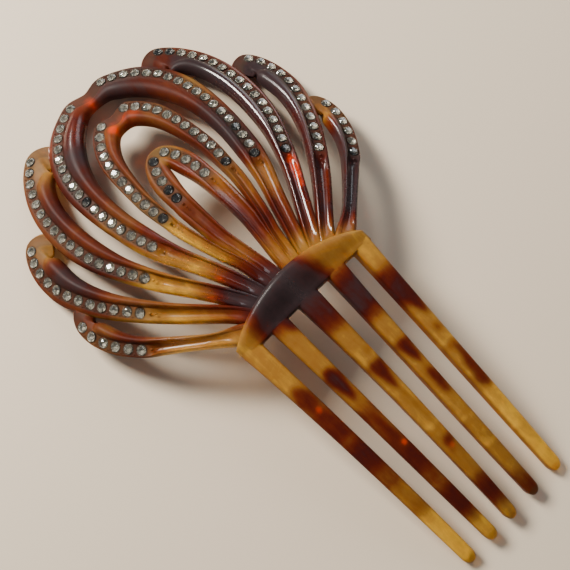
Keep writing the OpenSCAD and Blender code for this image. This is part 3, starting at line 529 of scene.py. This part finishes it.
def tooth_solid(tooth):
    c0, c1, bow, w0, w1 = TEETH[tooth]
    long = ROOT_T - TIP_T
    share = np.array(TAPER)
    at = np.r_[-0.016, -0.008, 0.0, np.linspace(0.0, 1.0, 12)[1:] * 1.2 / long, np.linspace(1.2 / long, 0.962, 122)[1:],
               0.962 + 0.038 * np.sin(np.linspace(0, math.pi / 2, 12))[1:]]
    rings, tones = [], []
    left, right = (0 if tooth == 1 else 1), (0 if tooth == 5 else 1)
    for u in at:
        c = c0 + (c1 - c0) * u + bow * 4 * u * (1 - u)
        w = w0 + (w1 - w0) * np.interp(u, share[:, 0], share[:, 1])
        d = max(u, 0) * long
        flare = 0.55 * (1 - math.sqrt(max(0.0, 1 - max(0.0, 1 - d / 0.8) ** 2))) if d < 0.8 else 0.0
        tip = min(1.0, max(0.0, (u - 0.962) / 0.038))
        k = math.sqrt(max(0.0, 1 - tip ** 2.2))
        w = w * max(k, 0.12)
        h = (ROOT_H - 0.15 + (TIP_H - ROOT_H + 0.15) * max(u, 0)) * (0.45 + 0.55 * k) + 0.02 - 0.3 * (abs(c) / HEAD_HALF_W) ** 6 * (1 - float(step(u, 0, 0.1)))
        side = w / 2
        rim = min(0.55, 0.3 * w)
        outline = [(-side, 0.0), (side, 0.0), (side, 0.80 * h), (0.80 * side, h - 0.06), (0, h), (-0.80 * side, h - 0.06), (-side, 0.80 * h)]
        o = rounded(outline, [0.4 * rim, 0.4 * rim, rim, rim, 3.0, rim, rim], 4)
        extra = [o[i] + (o[(i + 1) % len(o)] - o[i]) * x for i in range(len(o)) for x in ((0.0,) if np.linalg.norm(o[(i + 1) % len(o)] - o[i]) < 0.45 else (0.0, 0.5))]
        extra = np.array(extra)
        extra[:, 0] += flare * np.where(extra[:, 0] < 0, -left, right) * np.minimum(1, np.abs(extra[:, 0]) / side)
        rings.append((c, u, extra, side))
    n = min(len(q[2]) for q in rings)
    flat = []
    for c, u, o, side in rings:
        run = np.r_[0, np.cumsum(np.linalg.norm(np.diff(np.vstack([o, o[:1]]), axis=0), axis=1))]
        x = np.linspace(0, run[-1], 32, endpoint=False)
        o = np.stack([np.interp(x, run, np.r_[o[:, k], o[0, k]]) for k in (0, 1)], -1)
        flat.append(placed(np.stack([c + o[:, 0], np.full(len(o), ROOT_T - u * long), o[:, 1]], -1)))
        tones.append(tooth_tone(tooth, np.full(len(o), ROOT_T - u * long), o[:, 0] / side))
    v, f = sweep(flat)
    return v, outward_faces(v, f), np.concatenate(tones), np.full(len(v), 0.5)


# ---------------------------------------------------------------- stones: where they sit
def polyline_at(rows, d):
    r = np.array(rows, float)
    run = np.r_[0, np.cumsum(np.hypot(np.diff(r[:, 0]), np.diff(r[:, 1])))]
    return np.stack([np.interp(d, run, r[:, k]) for k in range(7)], -1)


def frame_at(s, t, way=None):
    """Foot on the back face, and a frame with the normal as its third axis, at flat s, t."""
    foot = placed(np.array([s, t, 0.0]))
    n = placed(np.array([s, t, 1.0])) - foot
    w = np.array([1.0, 0.0]) if way is None else np.asarray(way, float)
    x = placed(np.array([s + 0.01 * w[0], t + 0.01 * w[1], 0.0])) - foot
    x -= n * (x @ n)
    x /= np.linalg.norm(x)
    return foot, np.stack([x, np.cross(n, x), n], 1)


def stone_places(name):
    first, last, count = ROWS[name]
    d = np.linspace(first, last, count)
    q = polyline_at(STRAPS[name], d)
    a, b = polyline_at(STRAPS[name], d - 0.4), polyline_at(STRAPS[name], d + 0.4)
    w = (b - a)[:, :2]
    return q, w / np.linalg.norm(w, axis=1, keepdims=True), d


# ---------------------------------------------------------------- body
solids, known = [], []
for name in STRAPS:
    v, f, tones, dull = strap_solid(name)
    for side, (a, b) in zip((1, -1), both_sides(v, f)):
        solids.append((a, b))
        known.append((a, tones[side], dull[side]))
for v, f, tone, dull in [heading_solid()] + [tooth_solid(k) for k in TEETH]:
    solids.append((v, f))
    known.append((v, tone, dull))


def combine(base, others, operation):
    """The base mesh united with, or cut by, each of the other solids."""
    for k, ob in enumerate(others):
        m = base.modifiers.new("b%d" % k, "BOOLEAN")
        m.operation, m.solver, m.object = operation, "MANIFOLD", ob
    bpy.context.view_layer.update()
    dg = bpy.context.evaluated_depsgraph_get()
    me = bpy.data.meshes.new_from_object(base.evaluated_get(dg))
    base.modifiers.clear()
    base.data = me
    for ob in others:
        bpy.data.objects.remove(ob)


body = mesh_object("comb", *solids[0])
combine(body, [mesh_object("part%d" % k, v, f) for k, (v, f) in enumerate(solids[1:])], "UNION")


# Beads between the stones, on the outer lip, and a run of shrinking beads below the last stone of each row
def ball(r, squash=0.75, rings=5, around=9):
    v = [(0, 0, r * squash)]
    for k in range(1, rings):
        q = math.pi * k / rings
        for j in range(around):
            a = 2 * math.pi * j / around
            v.append((r * math.sin(q) * math.cos(a), r * math.sin(q) * math.sin(a), r * squash * math.cos(q)))
    v.append((0, 0, -r * squash))
    f = [(0, 1 + j, 1 + (j + 1) % around) for j in range(around)]
    for k in range(rings - 2):
        a, b = 1 + k * around, 1 + (k + 1) * around
        f += [(a + j, b + j, b + (j + 1) % around, a + (j + 1) % around) for j in range(around)]
    a, z = 1 + (rings - 2) * around, len(v) - 1
    f += [(a + j, z, a + (j + 1) % around) for j in range(around)]
    return np.array(v), f


def put(shape, s, t, h, way=None, side=1):
    v, f = shape
    foot, m = frame_at(s, t, way)
    p = foot + m[:, 2] * h + v @ m.T
    if side < 0:
        return p * [-1, 1, 1], [tuple(reversed(g)) for g in f]
    return p, f


beads, seats = [], []
for name in STRAPS:
    q, w, d = stone_places(name)
    mid = (d[1:] + d[:-1]) / 2
    m = polyline_at(STRAPS[name], mid)
    wm = (q[1:] - q[:-1])[:, :2]
    wm /= np.linalg.norm(wm, axis=1, keepdims=True)
    for k in range(len(mid)):
        out = np.array([-wm[k, 1], wm[k, 0]])
        c = m[k, :2] + out * 1.22
        for side in (-1, 1):
            beads.append(put(ball(0.30), c[0], c[1], m[k, 5] + 0.16, side=side))
    step_d = d[1] - d[0]
    for k, (gap, r) in enumerate(((0.78, 0.42), (1.22, 0.30), (1.58, 0.22))):
        e = polyline_at(STRAPS[name], d[-1] + gap * step_d)
        for side in (-1, 1):
            beads.append(put(ball(r), e[0], e[1], max(e[5] + 0.1, e[4] + 0.14) - 0.02, side=side))
    for k in range(len(q)):
        r, lift = STONE_R + 0.09, STONE_LIFT - 0.12
        prof = [(0.40 * r, lift), (r * 0.97, lift + 0.5 * STONE_H + 0.04), (r, lift + 0.5 * STONE_H + 0.14), (r + 0.05, lift + 0.5 * STONE_H + 0.30),
                (r + 0.35, lift + 0.5 * STONE_H + 0.9), (r + 0.8, lift + 0.5 * STONE_H + 2.6)]
        ring = np.arange(18) * 2 * math.pi / 18
        rings = [np.stack([a * np.cos(ring), a * np.sin(ring), np.full(18, b)], -1) for a, b in prof]
        v, f = sweep(rings)
        f = outward_faces(v, f)
        for side in (-1, 1):
            seats.append(put((v, f), q[k, 0], q[k, 1], 0.0, side=side))
combine(body, [mesh_object("beads", *joined(beads))], "UNION")
combine(body, [mesh_object("seats", *joined(seats))], "DIFFERENCE")

me = body.data
me.name = "comb"
co = np.zeros(len(me.vertices) * 3)
me.vertices.foreach_get("co", co)
co = co.reshape(-1, 3)
lo, hi = np.array(cad_box[0]), np.array(cad_box[1])
over = np.maximum(lo - co.min(0), co.max(0) - hi)
print("body verts", len(co), "faces", len(me.polygons), "over the CAD box mm", (over * 1000).round(3))
co = np.clip(co, lo + 2e-6, hi - 2e-6)
me.vertices.foreach_set("co", co.ravel())
me.update()
me.shade_smooth()
me.set_sharp_from_angle(angle=math.radians(38))

# The tone of every vertex: that of the nearest point of the solids before they were joined
from mathutils.kdtree import KDTree
points, tone_of, dull_of = (np.concatenate([k[j] for k in known]) for j in range(3))
tree = KDTree(len(points))
for k, q in enumerate(points):
    tree.insert(q, k)
tree.balance()
nearest = np.array([tree.find(q)[1] for q in co / MM])
tone, dull = tone_of[nearest], dull_of[nearest]
s, t, h = unbend(co / MM)
# Painted glow: how strongly each vertex takes the red glow of the nearest spot
painted_glow = np.zeros(len(s))
for a, b, r, strength in PAINTED_GLOW_SPOTS:
    painted_glow = np.maximum(painted_glow, strength * (1 - step(np.hypot(s - a, t - b) / r, 0.25, 1.1)))
# Three rounds of smoothing over the edges, so that no seam of the union shows in the colour
edges = np.zeros(len(me.edges) * 2, int)
me.edges.foreach_get("vertices", edges)
edges = edges.reshape(-1, 2)
count = np.bincount(edges.ravel(), minlength=len(tone)) + 1
for _ in range(3):
    total = tone.copy()
    np.add.at(total, edges[:, 0], tone[edges[:, 1]])
    np.add.at(total, edges[:, 1], tone[edges[:, 0]])
    tone = total / count
for name, values in (("tone", tone), ("painted_glow", painted_glow), ("dull", dull)):
    at = me.attributes.new(name, "FLOAT", "POINT")
    at.data.foreach_set("value", values.astype(np.float32))

# ---------------------------------------------------------------- materials
def new_material(name):
    m = bpy.data.materials.new(name)
    m.use_nodes = True
    nt = m.node_tree
    p = next(n for n in nt.nodes if n.type == "BSDF_PRINCIPLED")
    return m, nt, p


def node(nt, kind, at=(0, 0), **values):
    n = nt.nodes.new(kind)
    n.location = at
    for k, v in values.items():
        setattr(n, k, v)
    return n


def ramp(nt, stops, source):
    n = node(nt, "ShaderNodeValToRGB")
    el = n.color_ramp.elements
    while len(el) < len(stops):
        el.new(0.5)
    for e, (x, c) in zip(el, stops):
        e.position = x
        e.color = (*c, 1)
    nt.links.new(source, n.inputs["Fac"])
    return n.outputs["Color"]


def math_node(nt, op, a, b=None, c=None, clamp=False):
    n = node(nt, "ShaderNodeMath", operation=op, use_clamp=clamp)
    for k, x in enumerate((a, b, c)):
        if x is None:
            continue
        if isinstance(x, (int, float)):
            n.inputs[k].default_value = x
        else:
            nt.links.new(x, n.inputs[k])
    return n.outputs[0]


def noise(nt, vector, scale, detail=4.0, rough=0.55, distort=0.0):
    n = node(nt, "ShaderNodeTexNoise")
    n.inputs["Scale"].default_value = scale
    n.inputs["Detail"].default_value = detail
    n.inputs["Roughness"].default_value = rough
    n.inputs["Distortion"].default_value = distort
    nt.links.new(vector, n.inputs["Vector"])
    return n.outputs["Fac"]


def stretched(nt, source, scale):
    n = node(nt, "ShaderNodeMapping")
    n.inputs["Scale"].default_value = scale
    nt.links.new(source, n.inputs["Vector"])
    return n.outputs["Vector"]


shell, nt, p = new_material("celluloid")
tone_a = node(nt, "ShaderNodeAttribute", attribute_name="tone").outputs["Fac"]
painted_glow_a = node(nt, "ShaderNodeAttribute", attribute_name="painted_glow").outputs["Fac"]
where_a = node(nt, "ShaderNodeTexCoord").outputs["Object"]
cloud = noise(nt, where_a, 160.0, 3.0, 0.55, 0.8)
streak = noise(nt, stretched(nt, where_a, (900.0, 150.0, 500.0)), 1.0, 4.0, 0.6, 0.4)
fleck = noise(nt, where_a, 900.0, 2.0, 0.5)
a = math_node(nt, "MULTIPLY_ADD", cloud, 0.34, -0.17)
b = math_node(nt, "MULTIPLY_ADD", streak, 0.26, -0.13)
c = math_node(nt, "MULTIPLY_ADD", fleck, 0.08, -0.04)
wave = math_node(nt, "ADD", math_node(nt, "ADD", a, b), c)
# The pattern is liveliest in the middle tones and calm in gold and black
calm = math_node(nt, "MULTIPLY", math_node(nt, "MULTIPLY", tone_a, math_node(nt, "SUBTRACT", 1.0, tone_a)), 3.4, clamp=True)
lively = math_node(nt, "MULTIPLY_ADD", calm, 0.60, 0.42)
mixed = math_node(nt, "ADD", tone_a, math_node(nt, "MULTIPLY", wave, lively), clamp=True)
# The darkest stops are grey violet rather than black: the shell's own dark purple brown with a painted sheen in it
shell_color = ramp(nt, [(0.0, (0.98, 0.60, 0.050)), (0.08, (0.62, 0.335, 0.038)), (0.16, (0.375, 0.180, 0.028)), (0.30, (0.28, 0.104, 0.016)),
                        (0.42, (0.19, 0.050, 0.009)), (0.54, (0.150, 0.023, 0.005)), (0.66, (0.100, 0.011, 0.004)), (0.74, (0.068, 0.009, 0.006)),
                        (0.84, (0.053, 0.021, 0.021)), (0.92, (0.042, 0.024, 0.026)), (1.0, (0.028, 0.019, 0.020))], mixed)
# Painted red glow mixed into the colour where light shines through the shell
mix = node(nt, "ShaderNodeMix", data_type="RGBA")
mix.inputs["B"].default_value = (0.90, 0.055, 0.0, 1)
for link_from, link_to in ((math_node(nt, "MULTIPLY", painted_glow_a, 0.85), mix.inputs["Factor"]), (shell_color, mix.inputs["A"])):
    nt.links.new(link_from, link_to)
dull_a = node(nt, "ShaderNodeAttribute", attribute_name="dull").outputs["Fac"]
# Partly dust and partly painted sheen: the lighter tones of less polished parts are mixed toward grey brown, and the
# flat bands and shelves further toward a dark grey brown
dust_and_sheen_haze = node(nt, "ShaderNodeMix", data_type="RGBA")
dust_and_sheen_haze.inputs["B"].default_value = (0.080, 0.056, 0.030, 1)
dust_and_sheen_reach = math_node(nt, "MULTIPLY_ADD", dull_a, 4.0, -2.2, clamp=True)
nt.links.new(math_node(nt, "MULTIPLY", math_node(nt, "MULTIPLY", dust_and_sheen_reach, math_node(nt, "SUBTRACT", 1.0, tone_a)), 0.42), dust_and_sheen_haze.inputs["Factor"])
nt.links.new(mix.outputs["Result"], dust_and_sheen_haze.inputs["A"])
dust_and_sheen_dark = node(nt, "ShaderNodeMix", data_type="RGBA")
dust_and_sheen_dark.inputs["B"].default_value = (0.046, 0.033, 0.021, 1)
nt.links.new(math_node(nt, "MULTIPLY", math_node(nt, "MULTIPLY_ADD", dull_a, 10.0, -9.0, clamp=True), 0.50), dust_and_sheen_dark.inputs["Factor"])
nt.links.new(dust_and_sheen_haze.outputs["Result"], dust_and_sheen_dark.inputs["A"])
nt.links.new(dust_and_sheen_dark.outputs["Result"], p.inputs["Base Color"])
p.inputs["IOR"].default_value = 1.14
p.inputs["Specular IOR Level"].default_value = 0.3
p.inputs["Transmission Weight"].default_value = 0.6
p.inputs["Coat Roughness"].default_value = 0.12
rough = math_node(nt, "MULTIPLY_ADD", noise(nt, where_a, 260.0, 3.0), 0.12, 0.20)
nt.links.new(math_node(nt, "MULTIPLY_ADD", dull_a, 0.24, rough), p.inputs["Roughness"])
nt.links.new(math_node(nt, "MULTIPLY_ADD", dull_a, -0.95, 0.62, clamp=True), p.inputs["Coat Weight"])
wear = noise(nt, stretched(nt, where_a, (700.0, 260.0, 700.0)), 1.0, 3.0, 0.6)
bump = node(nt, "ShaderNodeBump")
bump.inputs["Strength"].default_value = 0.05
bump.inputs["Distance"].default_value = 0.0002
nt.links.new(wear, bump.inputs["Height"])
nt.links.new(bump.outputs["Normal"], p.inputs["Normal"])
body.data.materials.clear()
body.data.materials.append(shell)
for poly in body.data.polygons:
    poly.material_index = 0
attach(body, "root")
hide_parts("comb_body")


# ---------------------------------------------------------------- stones
glass, nt, p = new_material("stone_glass")
p.inputs["Base Color"].default_value = (0.93, 0.93, 0.90, 1)
p.inputs["Roughness"].default_value = 0.03
p.inputs["IOR"].default_value = 1.55
p.inputs["Transmission Weight"].default_value = 1.0


def foil_material(name, stops, metallic, roughness):
    m, nt, p = new_material(name)
    where = node(nt, "ShaderNodeTexCoord").outputs["Object"]
    nt.links.new(ramp(nt, stops, noise(nt, where, 700.0, 3.0, 0.6)), p.inputs["Base Color"])
    nt.links.new(math_node(nt, "MULTIPLY_ADD", noise(nt, where, 1500.0, 2.0), roughness, roughness * 0.5), p.inputs["Roughness"])
    p.inputs["Metallic"].default_value = metallic
    return m


foil = foil_material("stone_foil", [(0.30, (0.24, 0.22, 0.17)), (0.5, (0.50, 0.47, 0.39)), (0.72, (0.76, 0.73, 0.65))], 0.75, 0.25)
# Painted shade: the foil under the point of each stone is darker, for the dark centre the stones show
culet_shade_foil = foil_material("stone_culet_shade_foil", [(0.35, (0.16, 0.145, 0.11)), (0.7, (0.42, 0.39, 0.32))], 0.7, 0.3)
bare = foil_material("stone_bare", [(0.35, (0.010, 0.010, 0.009)), (0.7, (0.045, 0.042, 0.036))], 0.2, 0.3)


def brilliant():
    """A round stone: table, stars, kites and girdle facets in glass, and a pavilion of 8 mains whose back is foiled."""
    r, h = STONE_R, STONE_H
    v, f, kind = [], [], []

    def ring(n, radius, height, turn=0.0):
        first = len(v)
        for k in range(n):
            a = 2 * math.pi * (k + turn) / n
            v.append((radius * math.cos(a), radius * math.sin(a), height))
        return [first + k for k in range(n)]

    table = ring(8, 0.47 * r, h)
    star = ring(8, 0.74 * r, h * 0.85, 0.5)
    girdle = ring(16, 0.93 * r, h * 0.62)
    under = ring(16, r, h * 0.52)
    low = ring(8, 0.52 * r, h * 0.24, 0.0)
    tip = len(v)
    v.append((0, 0, h * 0.02))
    f.append(tuple(table)); kind.append(0)
    for k in range(8):
        n = (k + 1) % 8
        g0, g1, g2 = girdle[2 * k], girdle[2 * k + 1], girdle[(2 * k + 2) % 16]
        f.append((table[k], star[k], table[n])); kind.append(0)
        f.append((table[k], star[k - 1], g0)); kind.append(0)
        f.append((table[k], g0, star[k])); kind.append(0)
        f.append((star[k], g0, g1)); kind.append(0)
        f.append((star[k], g1, g2)); kind.append(0)
        u0, u1, u2 = under[2 * k], under[2 * k + 1], under[(2 * k + 2) % 16]
        f.append((g0, u0, u1, g1)); kind.append(2)
        f.append((g1, u1, u2, g2)); kind.append(2)
        f.append((u0, low[k], u1)); kind.append(1)
        f.append((u1, low[n], u2)); kind.append(1)
        f.append((u1, low[k], low[n])); kind.append(1)
        # The point of the pavilion takes the darker foil, painted shade
        f.append((low[k], tip, low[n])); kind.append(3)
    return np.array(v), outward_faces(v, f), kind


stone_v, stone_f, stone_kind = brilliant()
rng = np.random.default_rng(7)
jobs = [("stones_" + n, n, (-1, 1)) for n in ("loop_1", "loop_2", "loop_3")]
jobs += [("stones_%s_%s" % (n, word), n, (side,)) for n in ("scallop_4", "scallop_5", "scallop_6") for word, side in (("left", -1), ("right", 1))]
for node_name, name, sides in jobs:
    q, _, _ = stone_places(name)
    parts, kinds = [], []
    for side in sides:
        for k in range(len(q)):
            turn, tilt = rng.uniform(0, math.pi / 4), rng.normal(0, math.radians(3.6), 2)
            spin = Matrix.Rotation(turn, 3, "Z")
            lean = Matrix.Rotation(tilt[0], 3, "X") @ Matrix.Rotation(tilt[1], 3, "Y")
            v = stone_v @ np.array(lean @ spin).T
            parts.append(put((v, stone_f), q[k, 0], q[k, 1], STONE_LIFT, side=side))
            kinds += [2 if x and k in DARK.get((name, side), ()) else x for x in stone_kind]
    ob = mesh_object("gems_" + name + ("" if len(sides) == 2 else "_left" if sides[0] < 0 else "_right"), *joined(parts))
    for mat in (glass, foil, bare, culet_shade_foil):
        ob.data.materials.append(mat)
    ob.data.polygons.foreach_set("material_index", kinds)
    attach(ob, "root")
    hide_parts(node_name)

# ---------------------------------------------------------------- floor, light, camera
floor_m, nt, p = new_material("floor")
p.inputs["Base Color"].default_value = (0.50, 0.41, 0.305, 1)
p.inputs["Roughness"].default_value = 0.7
floor = mesh_object("floor", [(-900, -900, -0.02), (900, -900, -0.02), (900, 900, -0.02), (-900, 900, -0.02)], [(0, 1, 2, 3)])
floor.data.materials.append(floor_m)

ROLL, LEAN_X, LEAN_Y = (math.radians(a) for a in (46.098, 11.35, 11.674))
TX, TY, FAR = 1.752, 1.495, 258.93
m = (Matrix.Rotation(ROLL, 3, "Z") @ Matrix.Rotation(-LEAN_Y, 3, "X") @ Matrix.Rotation(LEAN_X, 3, "Y"))
mt = m.transposed()
where = mt @ Vector((-TX, -TY, FAR)) - Vector((0, MID_Y, LOW_Z - 2.16))
cam = bpy.data.objects.new("camera", bpy.data.cameras.new("camera"))
cam.data.sensor_width = 36.0
cam.data.lens = 36.0 * 1000 / 570
cam.matrix_world = Matrix.Translation(where * MM) @ mt.to_4x4()
bpy.context.scene.collection.objects.link(cam)
bpy.context.scene.camera = cam


def area_light(name, at, look, size, power, color=(1, 1, 1), size_y=None):
    """A soft light placed in the camera's own axes: right, up and towards the camera, in mm from the comb's middle."""
    lamp = bpy.data.lights.new(name, "AREA")
    lamp.energy, lamp.size, lamp.color = power, size * MM, color
    if size_y:
        lamp.shape, lamp.size_y = "RECTANGLE", size_y * MM
    ob = bpy.data.objects.new(name, lamp)
    a, b = mt @ Vector(at), mt @ Vector(look)
    ob.location = a * MM
    ob.rotation_euler = (b - a).to_track_quat("-Z", "Y").to_euler()
    bpy.context.scene.collection.objects.link(ob)
    return ob


area_light("key", (-470, 405, 320), (0, 0, 0), 230, 17.0, (1.0, 0.945, 0.87), 230)
area_light("side", (130, 620, 90), (0, 0, 0), 320, 2.6, (0.90, 0.95, 1.0), 600)
world = bpy.data.worlds.new("world")
world.use_nodes = True
world.node_tree.nodes["Background"].inputs[0].default_value = (0.88, 0.92, 1.0, 1)
world.node_tree.nodes["Background"].inputs[1].default_value = 0.31
bpy.context.scene.world = world
